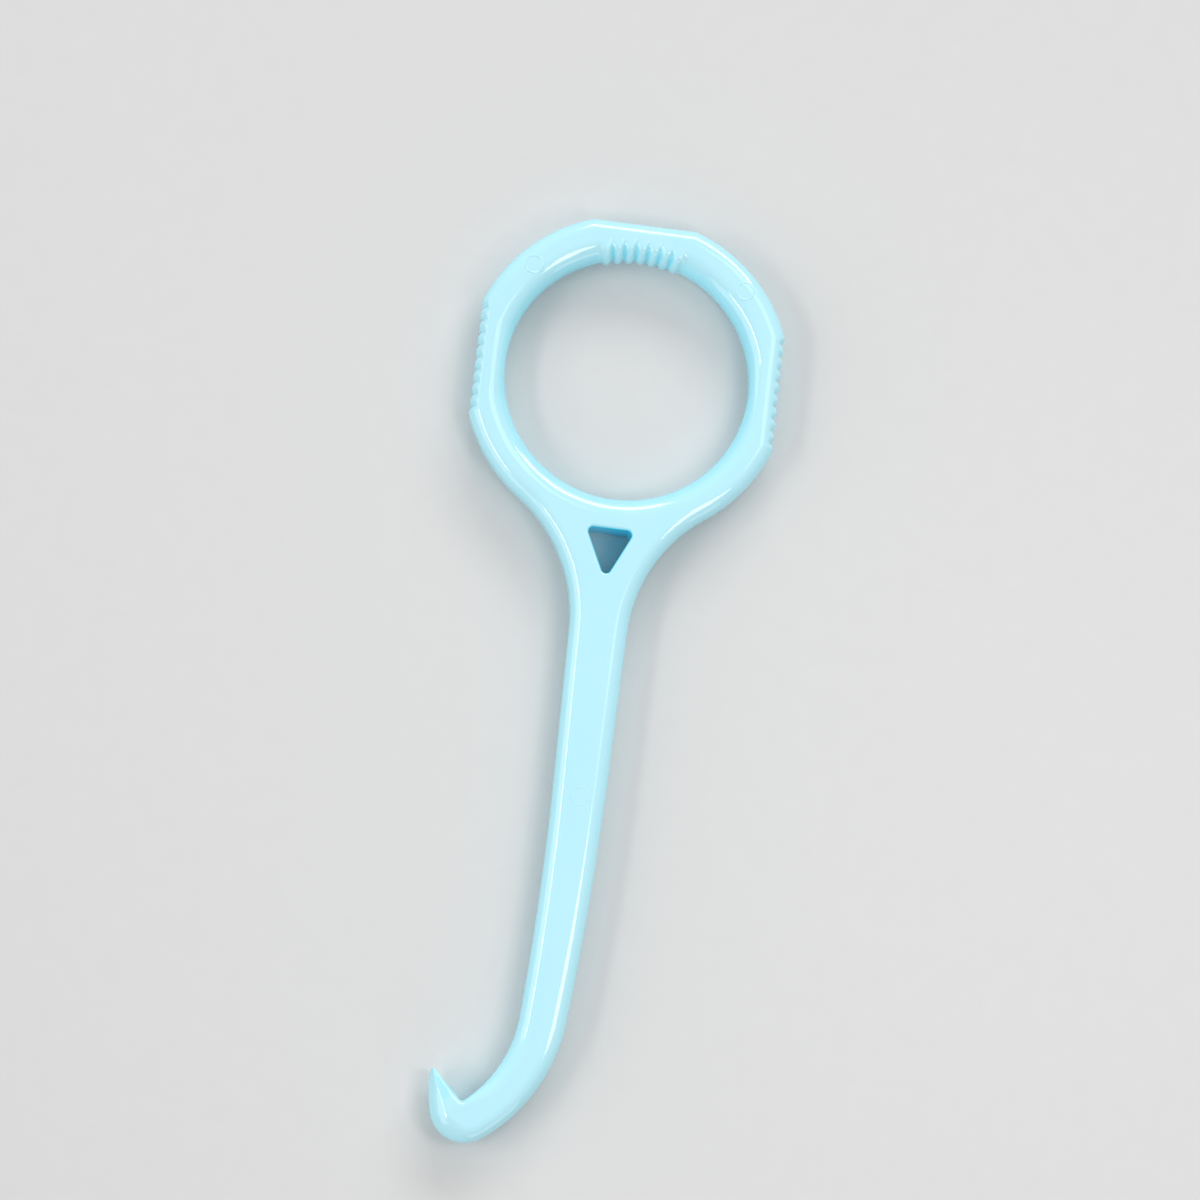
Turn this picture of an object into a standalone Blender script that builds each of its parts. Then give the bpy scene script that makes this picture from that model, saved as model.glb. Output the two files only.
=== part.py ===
"""Aligner removal hook: a finger ring, a neck with a three-cornered eye, a flat shank and a pointed
hook, moulded together in one shot of light blue plastic.

The moulding lies on its back face. +Z goes up through its thickness, +Y runs from the hook to the
finger ring, and the barb points to -X. The origin is under the middle of its bounding box.
The outline is drawn from the middle of the ring's hole. All sizes are in metres.
"""

import math
from collections import namedtuple

import bmesh
import bpy
from mathutils import Vector

# Section of the moulding
THICKNESS = 0.0046
PARTING_LAND = 0.0016  # straight wall at the parting line, between the two rounded edges

# Finger ring
HOLE_RADIUS = 0.01225
RING_BAND = 0.00407
HOLE_OFFSET = 0.00025  # how far the hole sits towards the hook from the ring's outer circle
SIDE_FLAT_DEPTH = 0.00104
TOP_FLAT_DEPTH = 0.00087
FLAT_CORNER_RADIUS = 0.0010

# Grip: grooves across the side flats, ribs inside the top of the ring
GROOVE_COUNT = 9
GROOVE_PITCH = 0.00126
GROOVE_DEPTH = 0.00026
RIB_COUNT = 7
RIB_PITCH = 0.00113
RIB_HEIGHT = 0.0003

# Neck and its eye
NECK_RADIUS = 0.0157
EYE_WEB = 0.0032  # material left between the ring's hole and the eye
EYE_WIDTH = 0.0049
EYE_HEIGHT = 0.00515
EYE_CORNER_RADIUS = 0.0005
EYE_EDGE_RADIUS = 0.0003

# Shank: a straight run, then a slight lean towards the barb
SHANK_TOP_WIDTH = 0.00576
SHANK_LOW_WIDTH = 0.0046
STRAIGHT_LENGTH = 0.0146
LEAN_LENGTH = 0.0238
LEAN_RADIUS = 0.295

# Hook: the bend, the round nose and the barb
BEND_RADIUS = 0.01456
BEND_ANGLE = math.radians(48.5)
HOOK_WIDTH = 0.00406
NOSE_RADIUS = 0.0034
NOTCH_RADIUS = 0.00035
BARB_LENGTH = 0.0046
BARB_ANGLE = math.radians(45.7)  # between the barb's inner edge and +Y
BARB_BACK_RADIUS = 0.0145
TIP_RADIUS = 0.00025

# Colour of the plastic, linear
PLASTIC_COLOUR = (0.497, 0.879, 1.0, 1.0)
PLASTIC_ROUGHNESS = 0.22

# Fineness of the mesh
CHORD_ERROR = 0.00002
EDGE_STEPS = 4
GRIP_POINTS = 4
LEAN_STEPS = 7
BARB_STEPS = 8
SAME_POINT = 0.000002
ROUNDING_SHARE = 0.92  # share of the room to the opposite wall that a rounded edge may take

# Worked out from the sizes above
RING_RADIUS = HOLE_RADIUS + RING_BAND
RING_CENTRE = Vector((0.0, HOLE_OFFSET))
HOLE_CENTRE = Vector((0.0, 0.0))
MID_HEIGHT = THICKNESS / 2
EDGE_RADIUS = (THICKNESS - PARTING_LAND) / 2
NECK_CENTRE_X = SHANK_TOP_WIDTH / 2 + NECK_RADIUS
NECK_CENTRE_Y = HOLE_OFFSET - math.sqrt((RING_RADIUS + NECK_RADIUS) ** 2 - NECK_CENTRE_X ** 2)
NECK_ANGLE = math.atan2(HOLE_OFFSET - NECK_CENTRE_Y, NECK_CENTRE_X)
EYE_TOP = -HOLE_RADIUS - EYE_WEB
LEAN_ANGLE = LEAN_LENGTH / LEAN_RADIUS
HOOK_HEADING = LEAN_ANGLE + BEND_ANGLE

# A point of the outline, the direction into the material there, and how far the grip stands out
Station = namedtuple("Station", "point inward grip")


def unit(angle):
    return Vector((math.cos(angle), math.sin(angle)))


def left_of(direction):
    return Vector((-direction.y, direction.x))


def angle_of(direction):
    return math.atan2(direction.y, direction.x)


def arc(centre, radius, start, end):
    """Stations on an arc. The material is on the left of the way from start to end."""
    side = math.copysign(1, start - end)
    step = 2 * math.acos(1 - CHORD_ERROR / radius)
    count = max(2, math.ceil(abs(end - start) / step))
    stations = []
    for i in range(count + 1):
        outward = unit(start + (end - start) * i / count)
        stations.append(Station(centre + outward * radius, outward * side, 0.0))
    return stations


def rounded_corner(before, corner, after, radius):
    """An arc that rounds the corner between two straight edges, and how much of each edge it takes."""
    along = (corner - before).normalized()
    leaving = (after - corner).normalized()
    turn = math.atan2(along.cross(leaving), along.dot(leaving))
    setback = radius * math.tan(abs(turn) / 2)
    towards = left_of(along) * math.copysign(1, turn)
    centre = corner - along * setback + towards * radius
    start = angle_of(-towards)
    return arc(centre, radius, start, start + turn), setback


def joined(*runs):
    """One closed loop of stations, with points that fall on the one before them left out."""
    loop = []
    for run in runs:
        for station in run:
            if not loop or (station.point - loop[-1].point).length > SAME_POINT:
                loop.append(station)
    if (loop[-1].point - loop[0].point).length <= SAME_POINT:
        loop.pop()
    return loop


def finger_flat(facing, depth, grooved):
    """A flat on the ring with its rounded ends, met while going round the ring to the left."""
    corner_reach = RING_RADIUS - FLAT_CORNER_RADIUS
    level = RING_RADIUS - depth
    turn = math.acos((level - FLAT_CORNER_RADIUS) / corner_reach)
    half_length = corner_reach * math.sin(turn)
    outward = unit(facing)
    middle = RING_CENTRE + outward * level
    first_centre = RING_CENTRE + unit(facing - turn) * corner_reach
    last_centre = RING_CENTRE + unit(facing + turn) * corner_reach
    face = []
    if grooved:
        steps = GROOVE_COUNT * GRIP_POINTS
        for i in range(steps + 1):
            along = (i - steps / 2) * GROOVE_PITCH / GRIP_POINTS
            groove = GROOVE_DEPTH * (1 - abs(math.cos(math.pi * i / GRIP_POINTS)))
            if abs(along) < half_length:
                face.append(Station(middle + left_of(outward) * along, -outward, -groove))
    first = arc(first_centre, FLAT_CORNER_RADIUS, facing - turn, facing)
    last = arc(last_centre, FLAT_CORNER_RADIUS, facing, facing + turn)
    return first + face + last, turn


def ring_outside():
    """The outside of the ring, from its right-hand neck curve over the top to the left-hand one."""
    runs = []
    angle = -NECK_ANGLE
    flats = (
        (0.0, SIDE_FLAT_DEPTH, True),
        (math.pi / 2, TOP_FLAT_DEPTH, False),
        (math.pi, SIDE_FLAT_DEPTH, True),
    )
    for facing, depth, grooved in flats:
        flat, turn = finger_flat(facing, depth, grooved)
        runs += arc(RING_CENTRE, RING_RADIUS, angle, facing - turn) + flat
        angle = facing + turn
    return runs + arc(RING_CENTRE, RING_RADIUS, angle, math.pi + NECK_ANGLE)


def centreline():
    """The middle of the shank and the bend: each point with its heading and the width there.

    The heading is 0 straight down the tool and grows as the line turns to the barb's side.
    """
    line = [(Vector((0.0, NECK_CENTRE_Y)), 0.0, SHANK_TOP_WIDTH)]
    straight_share = STRAIGHT_LENGTH / (STRAIGHT_LENGTH + LEAN_LENGTH)
    width = SHANK_TOP_WIDTH + (SHANK_LOW_WIDTH - SHANK_TOP_WIDTH) * straight_share
    start = Vector((0.0, NECK_CENTRE_Y - STRAIGHT_LENGTH))
    line.append((start, 0.0, width))
    bend_steps = math.ceil(BEND_ANGLE / (2 * math.acos(1 - CHORD_ERROR / BEND_RADIUS)))
    curves = (
        (LEAN_RADIUS, LEAN_ANGLE, SHANK_LOW_WIDTH, LEAN_STEPS),
        (BEND_RADIUS, BEND_ANGLE, HOOK_WIDTH, bend_steps),
    )
    for radius, turn, last_width, steps in curves:
        first, heading, first_width = line[-1]
        centre = first - unit(-heading) * radius
        for i in range(1, steps + 1):
            share = i / steps
            now = heading + turn * share
            point = centre + unit(-now) * radius
            line.append((point, now, first_width + (last_width - first_width) * share))
    return line


def circles_meet(first, first_radius, second, second_radius):
    """Where two circles cross, on the right of the way from the first centre to the second."""
    gap = second - first
    along = (first_radius ** 2 - second_radius ** 2 + gap.length_squared) / (2 * gap.length)
    across = math.sqrt(first_radius ** 2 - along ** 2)
    way = gap.normalized()
    return first + way * along - left_of(way) * across


def barb(inner_end, outer_end):
    """The notch, the barb and the nose, from the bend's inner edge round to its outer edge."""
    heading = Vector((-math.sin(HOOK_HEADING), -math.cos(HOOK_HEADING)))
    outward = unit(-HOOK_HEADING)
    tip = inner_end + unit(math.pi / 2 + BARB_ANGLE) * BARB_LENGTH
    nose_centre = outer_end - outward * NOSE_RADIUS
    back_centre = circles_meet(nose_centre, BARB_BACK_RADIUS - NOSE_RADIUS, tip, BARB_BACK_RADIUS)
    back_start = angle_of(tip - back_centre) % math.tau
    back_end = angle_of(nose_centre - back_centre) % math.tau
    notch, _ = rounded_corner(inner_end - heading, inner_end, tip, NOTCH_RADIUS)
    down = left_of(unit(back_start))
    point, setback = rounded_corner(inner_end, tip, tip + down, TIP_RADIUS)
    face = []
    for i in range(1, BARB_STEPS):
        place = notch[-1].point.lerp(point[0].point, i / BARB_STEPS)
        face.append(Station(place, left_of((tip - inner_end).normalized()), 0.0))
    back = arc(back_centre, BARB_BACK_RADIUS, back_start + setback / BARB_BACK_RADIUS, back_end)
    nose = arc(nose_centre, NOSE_RADIUS, back_end, math.tau - HOOK_HEADING)
    return notch + face + point + back + nose


def outer_loop():
    """The whole outline, with the material on its left."""
    line = centreline()
    left = [Station(p - unit(-heading) * (w / 2), unit(-heading), 0.0) for p, heading, w in line]
    right = [Station(p + unit(-heading) * (w / 2), -unit(-heading), 0.0) for p, heading, w in line]
    right.reverse()
    left_neck = arc(Vector((-NECK_CENTRE_X, NECK_CENTRE_Y)), NECK_RADIUS, NECK_ANGLE, 0.0)
    right_neck = arc(Vector((NECK_CENTRE_X, NECK_CENTRE_Y)), NECK_RADIUS, math.pi, math.pi - NECK_ANGLE)
    hook_end = barb(left[-1].point, right[0].point)
    return joined(ring_outside(), left_neck, left[:-1], hook_end, right[1:], right_neck)


def hole_loop():
    """The finger hole, with its ribs across the top."""
    half_angle = RIB_COUNT * RIB_PITCH / HOLE_RADIUS / 2
    top = math.pi / 2
    plain = arc(HOLE_CENTRE, HOLE_RADIUS, top - half_angle, top + half_angle - math.tau)
    steps = RIB_COUNT * GRIP_POINTS
    ribs = []
    for i in range(steps + 1):
        outward = unit(top + half_angle - 2 * half_angle * i / steps)
        height = RIB_HEIGHT * abs(math.sin(math.pi * i / GRIP_POINTS))
        ribs.append(Station(HOLE_CENTRE + outward * HOLE_RADIUS, outward, height))
    return joined(plain, ribs)


def eye_loop():
    """The three-cornered eye, with a flat top and its point towards the hook."""
    left = Vector((-EYE_WIDTH / 2, EYE_TOP))
    right = Vector((EYE_WIDTH / 2, EYE_TOP))
    low = Vector((0.0, EYE_TOP - EYE_HEIGHT))
    corners = ((low, left, right), (left, right, low), (right, low, left))
    return joined(*(rounded_corner(*corner, EYE_CORNER_RADIUS)[0] for corner in corners))


def edge_radii(loop, walls):
    """The rounding at each station: the full radius, or what the wall across from it leaves."""
    radii = []
    for station in loop:
        room = EDGE_RADIUS / ROUNDING_SHARE
        for wall in walls:
            gap = wall.point - station.point
            facing = gap.dot(station.inward)
            if facing > SAME_POINT:
                room = min(room, gap.length_squared / (2 * facing))
        radii.append(room * ROUNDING_SHARE)
    return radii


def add_rim(mesh, loop, radii, half_wall):
    """The wall along a loop with both its rounded edges, and the lowest and highest ring of it."""
    quarter = [math.pi / 2 * i / EDGE_STEPS for i in range(EDGE_STEPS + 1)]
    levels = [(-1, angle) for angle in reversed(quarter)] + [(1, angle) for angle in quarter]
    rings = []
    for side, angle in levels:
        ring = []
        for station, radius in zip(loop, radii):
            inset = radius * (1 - math.cos(angle)) - station.grip * math.cos(angle)
            place = station.point + station.inward * inset
            height = MID_HEIGHT + side * (half_wall + radius * math.sin(angle))
            ring.append(mesh.verts.new((place.x, place.y, height)))
        rings.append(ring)
    for low, high in zip(rings, rings[1:]):
        for i in range(len(loop)):
            j = (i + 1) % len(loop)
            mesh.faces.new((low[i], low[j], high[j], high[i]))
    return rings[0], rings[-1]


def ring_edges(mesh, ring):
    return [mesh.edges.get((a, b)) for a, b in zip(ring, ring[1:] + ring[:1])]


def whole_moulding(outer, hole, eye):
    """The complete moulding as one closed mesh."""
    mesh = bmesh.new()
    walls = outer + hole
    rims = (
        (outer, edge_radii(outer, walls), PARTING_LAND / 2),
        (hole, edge_radii(hole, walls), PARTING_LAND / 2),
        (eye, [EYE_EDGE_RADIUS] * len(eye), THICKNESS / 2 - EYE_EDGE_RADIUS),
    )
    ends = [add_rim(mesh, *rim) for rim in rims]
    for side in range(2):
        edges = [edge for end in ends for edge in ring_edges(mesh, end[side])]
        bmesh.ops.triangle_fill(mesh, use_beauty=True, edges=edges, normal=(0.0, 0.0, 1.0))
    bmesh.ops.recalc_face_normals(mesh, faces=mesh.faces)
    return mesh


def cut_off(mesh, height, keep_above):
    """Cuts the mesh square across the tool at one Y and closes the cut."""
    geometry = list(mesh.verts) + list(mesh.edges) + list(mesh.faces)
    bmesh.ops.bisect_plane(
        mesh,
        geom=geometry,
        dist=SAME_POINT / 10,
        plane_co=(0.0, height, 0.0),
        plane_no=(0.0, 1.0, 0.0),
        clear_outer=not keep_above,
        clear_inner=keep_above,
    )
    rim = [edge for edge in mesh.edges if edge.is_boundary]
    bmesh.ops.edgeloop_fill(mesh, edges=rim)


def plastic(name):
    material = bpy.data.materials.new(name)
    material.use_nodes = True
    shader = material.node_tree.nodes["Principled BSDF"]
    shader.inputs["Base Color"].default_value = PLASTIC_COLOUR
    shader.inputs["Roughness"].default_value = PLASTIC_ROUGHNESS
    shader.inputs["Metallic"].default_value = 0.0
    return material


def add_zone(name, moulding, top, bottom, frame):
    """One zone of the moulding, between two cuts, as its own object. None means no cut there."""
    mesh = moulding.copy()
    if top is not None:
        cut_off(mesh, top, keep_above=False)
    if bottom is not None:
        cut_off(mesh, bottom, keep_above=True)
    bmesh.ops.recalc_face_normals(mesh, faces=mesh.faces)
    data = bpy.data.meshes.new(name)
    mesh.to_mesh(data)
    mesh.free()
    data.shade_smooth()
    data.set_sharp_from_angle(angle=math.radians(40))
    data.materials.append(plastic(name + "_plastic"))
    zone = bpy.data.objects.new(name, data)
    zone.parent = frame
    bpy.context.scene.collection.objects.link(zone)


def main():
    for obj in list(bpy.data.objects):
        bpy.data.objects.remove(obj, do_unlink=True)
    outer, hole, eye = outer_loop(), hole_loop(), eye_loop()
    moulding = whole_moulding(outer, hole, eye)
    frame = bpy.data.objects.new("moulding_frame", None)
    bpy.context.scene.collection.objects.link(frame)
    xs = [vert.co.x for vert in moulding.verts]
    ys = [vert.co.y for vert in moulding.verts]
    frame.location = (-(min(xs) + max(xs)) / 2, -(min(ys) + max(ys)) / 2, 0.0)
    ring_end = -HOLE_RADIUS - EYE_WEB / 2
    neck_end = NECK_CENTRE_Y
    bend_start = NECK_CENTRE_Y - STRAIGHT_LENGTH - LEAN_RADIUS * math.sin(LEAN_ANGLE)
    add_zone("finger_ring", moulding, None, ring_end, frame)
    add_zone("neck", moulding, ring_end, neck_end, frame)
    add_zone("shank", moulding, neck_end, bend_start, frame)
    add_zone("hook", moulding, bend_start, None, frame)
    moulding.free()


main()
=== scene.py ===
"""Looks of the aligner removal hook, laid out as a Blender add-on and run as a script.

The moulding is drawn again as one seamless skin over the four zones of the CAD model, fine enough
for its gloss, and is lit on a plain floor. Everything is in metres, in the frame of the CAD model:
the tool lies on its back face, +Y runs from the hook to the finger ring, and the barb points to -X.
"""

import math
from collections import namedtuple

import bmesh
import bpy
from bpy.props import FloatProperty, FloatVectorProperty, IntProperty, PointerProperty
from mathutils import Matrix, Quaternion, Vector
from mathutils.bvhtree import BVHTree
from mathutils.geometry import delaunay_2d_cdt
from mathutils.kdtree import KDTree


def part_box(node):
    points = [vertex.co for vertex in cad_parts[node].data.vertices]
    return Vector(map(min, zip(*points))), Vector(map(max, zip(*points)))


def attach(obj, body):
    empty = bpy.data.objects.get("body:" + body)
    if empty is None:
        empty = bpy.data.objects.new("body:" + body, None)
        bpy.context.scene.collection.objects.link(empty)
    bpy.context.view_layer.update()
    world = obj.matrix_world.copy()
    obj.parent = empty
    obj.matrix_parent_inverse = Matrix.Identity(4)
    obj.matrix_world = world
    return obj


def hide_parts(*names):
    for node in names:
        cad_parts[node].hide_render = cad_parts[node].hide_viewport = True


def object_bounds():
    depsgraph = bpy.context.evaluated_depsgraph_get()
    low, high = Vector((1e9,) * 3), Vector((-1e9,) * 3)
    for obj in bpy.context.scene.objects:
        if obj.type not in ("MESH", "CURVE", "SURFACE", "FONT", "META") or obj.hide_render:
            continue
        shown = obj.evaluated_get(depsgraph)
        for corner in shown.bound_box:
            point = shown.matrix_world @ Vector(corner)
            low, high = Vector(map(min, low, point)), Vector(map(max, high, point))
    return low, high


bl_info = {
    "name": "Aligner Removal Hook",
    "version": (1, 0, 0),
    "blender": (4, 5, 0),
    "location": "View3D > Sidebar > Hook",
    "description": "Builds a moulded plastic aligner removal hook on a plain stage",
    "category": "Object",
}

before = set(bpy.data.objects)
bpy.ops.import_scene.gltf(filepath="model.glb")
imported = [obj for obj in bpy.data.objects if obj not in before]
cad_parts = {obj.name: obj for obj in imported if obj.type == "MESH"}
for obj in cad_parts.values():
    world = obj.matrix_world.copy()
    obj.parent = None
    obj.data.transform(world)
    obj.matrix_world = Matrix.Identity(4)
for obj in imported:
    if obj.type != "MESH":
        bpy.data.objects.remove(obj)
CAD_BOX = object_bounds()
RING_LOW, RING_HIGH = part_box("finger_ring")
ZONES = ("finger_ring", "neck", "shank", "hook")
PLASTIC_NAME = "translucent_blue_plastic"
PAINTED_SHADE_LAYER = "wall"  # the skin's vertex layer of painted shade: how far the plastic's colour is painted deeper and darker on walls and in hollows

# Fineness of the skin
CHORD_ERROR = 0.000003  # largest gap between an arc and the straight steps along it
EDGE_STEPS = 12
GRIP_POINTS = 12  # along one groove or rib
CORNER_STEPS = 10
LEAN_STEPS = 14
STRAIGHT_STEPS = 8
BARB_STEPS = 18
FACE_SPACING = 0.0006
MARK_STEPS = 72
BEAD_STEPS = 12

# How the skin is put together
SAME_POINT = 0.000001  # points closer than this are one point
FACE_SUPPORT = 1.006  # the face starts this much further in than the rounding ends, to shade flat
GRIP_FADE = 0.67  # share of its way up the rounded edge after which a grip starts to fade
MILLIMETRES = 1000.0  # the faces are filled in millimetres
FILL_TOLERANCE = 0.000001
FILL_INSIDE = 1  # the filler's setting for triangles inside the outlines alone

# Grain of the finishes, as the scales and ramps of their noise
FLOW_STRETCH = (1.0, 0.25, 1.0)  # clouds and streaks run along the tool
CLOUD_SCALE = 260.0
CLOUD_RAMP = ((0.35, 0.0), (0.75, 1.0))
STREAK_SCALE = 2600.0
STREAK_RAMP = ((0.5, 0.0), (0.72, 1.0))
PEEL_SCALE = 900.0
FLOOR_SCALE = 400.0

NEAREST_SEEN = 0.01  # the camera shows nothing closer than this


def length(name, description, default):
    """A size in metres."""
    return FloatProperty(name=name, description=description, default=default, unit="LENGTH", precision=5)


def angle(name, description, degrees):
    """An angle, given in degrees and kept in radians."""
    return FloatProperty(name=name, description=description, default=math.radians(degrees), subtype="ANGLE")


def share(name, description, default):
    """A number from 0 to 1."""
    return FloatProperty(
        name=name, description=description, default=default, min=0.0, max=1.0, subtype="FACTOR"
    )


def colour(name, description, default):
    """A linear colour."""
    return FloatVectorProperty(
        name=name, description=description, default=default, size=3, min=0.0, max=1.0, subtype="COLOR"
    )


def unit(heading):
    """The direction at an angle from +X towards +Y."""
    return Vector((math.cos(heading), math.sin(heading)))


def left_of(direction):
    return Vector((-direction.y, direction.x))


def heading_of(direction):
    return math.atan2(direction.y, direction.x)


def smooth(value, low, high):
    """0 below low, 1 above high and an even S between them."""
    place = min(1.0, max(0.0, (value - low) / (high - low)))
    return place * place * (3 - 2 * place)


class SectionSizes(bpy.types.PropertyGroup):
    """The cross-section that runs round the whole moulding."""

    thickness: length("Thickness", "From the back face to the front face", RING_HIGH.z - RING_LOW.z)
    land: length("Parting land", "Straight wall between the two rounded edges", 0.0016)
    seam_height: length("Seam height", "How far the parting seam stands out of the land", 0.000015)
    seam_share: share("Seam share", "Share of the land that the parting seam takes", 0.3)
    ridge_share: share("Ridge share", "Share of a narrow wall's room that its rounding takes", 0.96)

    @property
    def edge_radius(self):
        return (self.thickness - self.land) / 2


class RingSizes(bpy.types.PropertyGroup):
    """The finger ring, with two grooved side flats, a plain top flat and ribs inside its top."""

    hole_radius: length("Hole radius", "Radius of the finger hole", 0.01225)
    hole_edge_radius: length("Hole edge radius", "Rounding of the hole's edges, where there is room", 0.00195)
    band: length("Band", "Width of the ring from the hole to its outer circle", 0.00407)
    hole_offset: length("Hole offset", "How far the hole sits towards the hook in the outer circle", 0.00025)
    side_depth: length("Side flat depth", "How far the side flats cut into the outer circle", 0.00104)
    top_depth: length("Top flat depth", "How far the top flat cuts into the outer circle", 0.00087)
    corner_radius: length("Corner radius", "Rounding between a flat and the outer circle", 0.0010)
    corner_inner_radius: length("Inner corner radius", "The same rounding where it reaches the face", 0.0003)
    groove_count: IntProperty(name="Grooves", description="Grooves across each side flat", default=9, min=1)
    groove_pitch: length("Groove pitch", "Distance from groove to groove", 0.00126)
    groove_depth: length("Groove depth", "Depth of the grooves across the side flats", 0.00026)
    groove_climb: angle("Groove climb", "How far the grooves run up the rounded edge", 57)
    rib_count: IntProperty(name="Ribs", description="Ribs inside the top of the ring", default=7, min=1)
    rib_pitch: length("Rib pitch", "Distance from rib to rib along the hole's wall", 0.00113)
    rib_height: length("Rib height", "How far the ribs stand out of the hole's wall", 0.0003)
    rib_climb: angle("Rib climb", "How far the ribs run up the rounded edge", 90)

    @property
    def radius(self):
        return self.hole_radius + self.band

    @property
    def centre(self):
        return Vector((0.0, self.hole_offset))


class NeckSizes(bpy.types.PropertyGroup):
    """The flared neck under the ring and its three-cornered eye."""

    radius: length("Neck radius", "Hollow curve from the ring into the shank", 0.0157)
    eye_web: length("Eye web", "Material between the finger hole and the eye", 0.0032)
    eye_width: length("Eye width", "Width of the eye across its flat top", 0.0049)
    eye_height: length("Eye height", "Height of the eye from its flat top to its point", 0.00515)
    eye_corner_radius: length("Eye corner radius", "Rounding of the eye's three corners", 0.0005)
    eye_edge_radius: length("Eye edge radius", "Rounding of the eye's front and back edges", 0.0003)


class ShankSizes(bpy.types.PropertyGroup):
    """The flat shank: a straight run, then a slight lean towards the barb."""

    top_width: length("Top width", "Width where the neck ends", 0.00576)
    low_width: length("Low width", "Width where the bend starts", 0.0046)
    straight_length: length("Straight length", "Length of the straight run", 0.0146)
    lean_length: length("Lean length", "Length of the leaning run", 0.0238)
    lean_radius: length("Lean radius", "Radius of the leaning run", 0.295)

    @property
    def lean_angle(self):
        return self.lean_length / self.lean_radius


class HookSizes(bpy.types.PropertyGroup):
    """The bend, the round nose and the pointed barb."""

    bend_radius: length("Bend radius", "Radius of the bend along its middle", 0.01456)
    bend_angle: angle("Bend angle", "How far the bend turns", 48.5)
    width: length("Width", "Width at the end of the bend", 0.00406)
    nose_radius: length("Nose radius", "Radius of the round nose", 0.0034)
    notch_radius: length("Notch radius", "Rounding in the corner behind the barb", 0.00035)
    barb_length: length("Barb length", "Length of the barb's inner edge", 0.0046)
    barb_angle: angle("Barb angle", "Between the barb's inner edge and the tool's length", 45.7)
    back_radius: length("Back radius", "Radius of the barb's outer edge", 0.0145)
    tip_radius: length("Tip radius", "Rounding of the barb's tip", 0.00022)
    back_edge_radius: length("Back edge radius", "Rounding of the barb's back, up to its ridge", 0.00225)
    nose_growth: length("Nose growth", "How far before the notch the nose's rounding starts to grow", 0.0040)
    nose_rest: share("Nose rest", "Share of that way that is left when the rounding is full", 1 / 3)
    throat_edge_radius: length("Throat edge radius", "Rounding of the barb's inner edge", 0.0006)
    throat_bevel: angle("Throat bevel", "Slope from the barb's inner edge up to the ridge", 14)
    throat_growth: length("Throat growth", "Length before the notch where the edge grows sharper", 0.0035)
    bevel_growth: length("Bevel growth", "Length past the notch over which the bevel grows", 0.0016)


class PinMarkSizes(bpy.types.PropertyGroup):
    """The plain round marks that the mould's pins leave on the front face."""

    ring_radius: length("Mark radius", "Radius of a mark's raised ring", 0.00088)
    bead_width: length("Bead width", "Width of the raised ring", 0.00022)
    bead_height: length("Bead height", "How far the raised ring stands out of the face", 0.00004)
    shank_bead_height: length("Shank bead height", "The same on the shank, where it is fainter", 0.000009)
    ring_reach: length("Ring marks' reach", "From the middle of the hole to the ring's marks", 0.01464)
    ring_angle: angle("Ring marks' angle", "Where the ring's marks sit on both sides of its top", 46.6)
    shank_reach: length("Shank mark's reach", "From the middle of the hole to the shank's mark", 0.0422)


class PlasticLook(bpy.types.PropertyGroup):
    """The light blue plastic."""

    face_colour: colour("Face", "Colour of the faces", (0.485, 0.875, 0.985))
    # Painted shade: the deeper, darker colour painted on walls, in the eye and between ribs, where the
    # plastic lies in shade
    painted_shade_colour: colour("Wall", "Deeper colour of the walls", (0.04, 0.78, 1.0))
    cloud_colour: colour("Cloud", "Colour of the faint flow clouds", (0.51, 0.895, 0.995))
    roughness: share("Roughness", "Roughness of the moulded gloss", 0.05)
    handling: share("Handling", "Extra roughness of the worn streaks", 0.06)
    refraction: FloatProperty(name="IOR", description="Refraction of the plastic", default=1.6, min=1.0)
    gloss: share("Gloss", "Strength of what the plastic mirrors", 0.65)
    peel: share("Peel", "Strength of the moulded surface's faint waves", 0.025)
    peel_height: length("Peel height", "Height of those waves", 0.0002)
    # Painted shade: how far the deeper, darker colour is taken by each kind of wall, the valleys between ribs
    # and the barb's thin inner face. It stands in for shade and for light carried through the plastic. Rib
    # crests lose part of it and are painted paler, as if lit
    outer_painted_shade: share("Outer depth", "How deep the colour is on the outer walls", 0.56)
    hole_painted_shade: share("Hole depth", "How deep the colour is on the finger hole's wall", 0.70)
    valley_painted_shade: share("Valley depth", "How deep the colour is between the hole's ribs", 0.85)
    eye_painted_shade: share("Eye depth", "How deep the colour is on the eye's walls", 1.0)
    throat_painted_shade: share("Throat depth", "How deep the colour is on the barb's thin inner face", 0.58)
    painted_crest_light: share("Crest paleness", "Share of the depth that is lost on top of a rib", 0.36)


class StageLook(bpy.types.PropertyGroup):
    """The floor, the sky and the camera."""

    floor_colour: colour("Floor", "Colour of the plain floor", (0.72, 0.72, 0.72))
    floor_grain: share("Floor grain", "How far the floor's fine grain is from its colour", 0.015)
    floor_roughness: share("Floor roughness", "Roughness of the floor", 0.85)
    floor_gloss: share("Floor gloss", "Strength of what the floor mirrors", 0.2)
    floor_reach: length("Floor reach", "From the middle of the floor to its edges", 1.2)
    sky: FloatProperty(name="Sky", description="Strength of the even light all round", default=0.385, min=0.0)
    backdrop: share("Backdrop", "Brightness of the sky where it is seen or mirrored", 0.78)
    camera_distance: length("Camera distance", "From the lens to the point it looks at", 0.400)
    field_of_view: angle("Field of view", "Angle across the square picture", 16.94)
    camera_elevation: angle("Camera elevation", "Height of the camera above the floor's plane", 81.47)
    camera_bearing: angle("Camera bearing", "Side the camera leans to, from +Y towards +X", -157.2)
    tool_lean: angle("Tool lean", "How far the tool's length leans to the right in the picture", 6.61)
    aim: FloatVectorProperty(
        name="Aim",
        description="Point in the middle of the picture, from the middle of the hole",
        default=(-0.00012, -0.02238, 0.0023),
        size=3,
        subtype="XYZ_LENGTH",
        unit="LENGTH",
        precision=5,
    )


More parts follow.
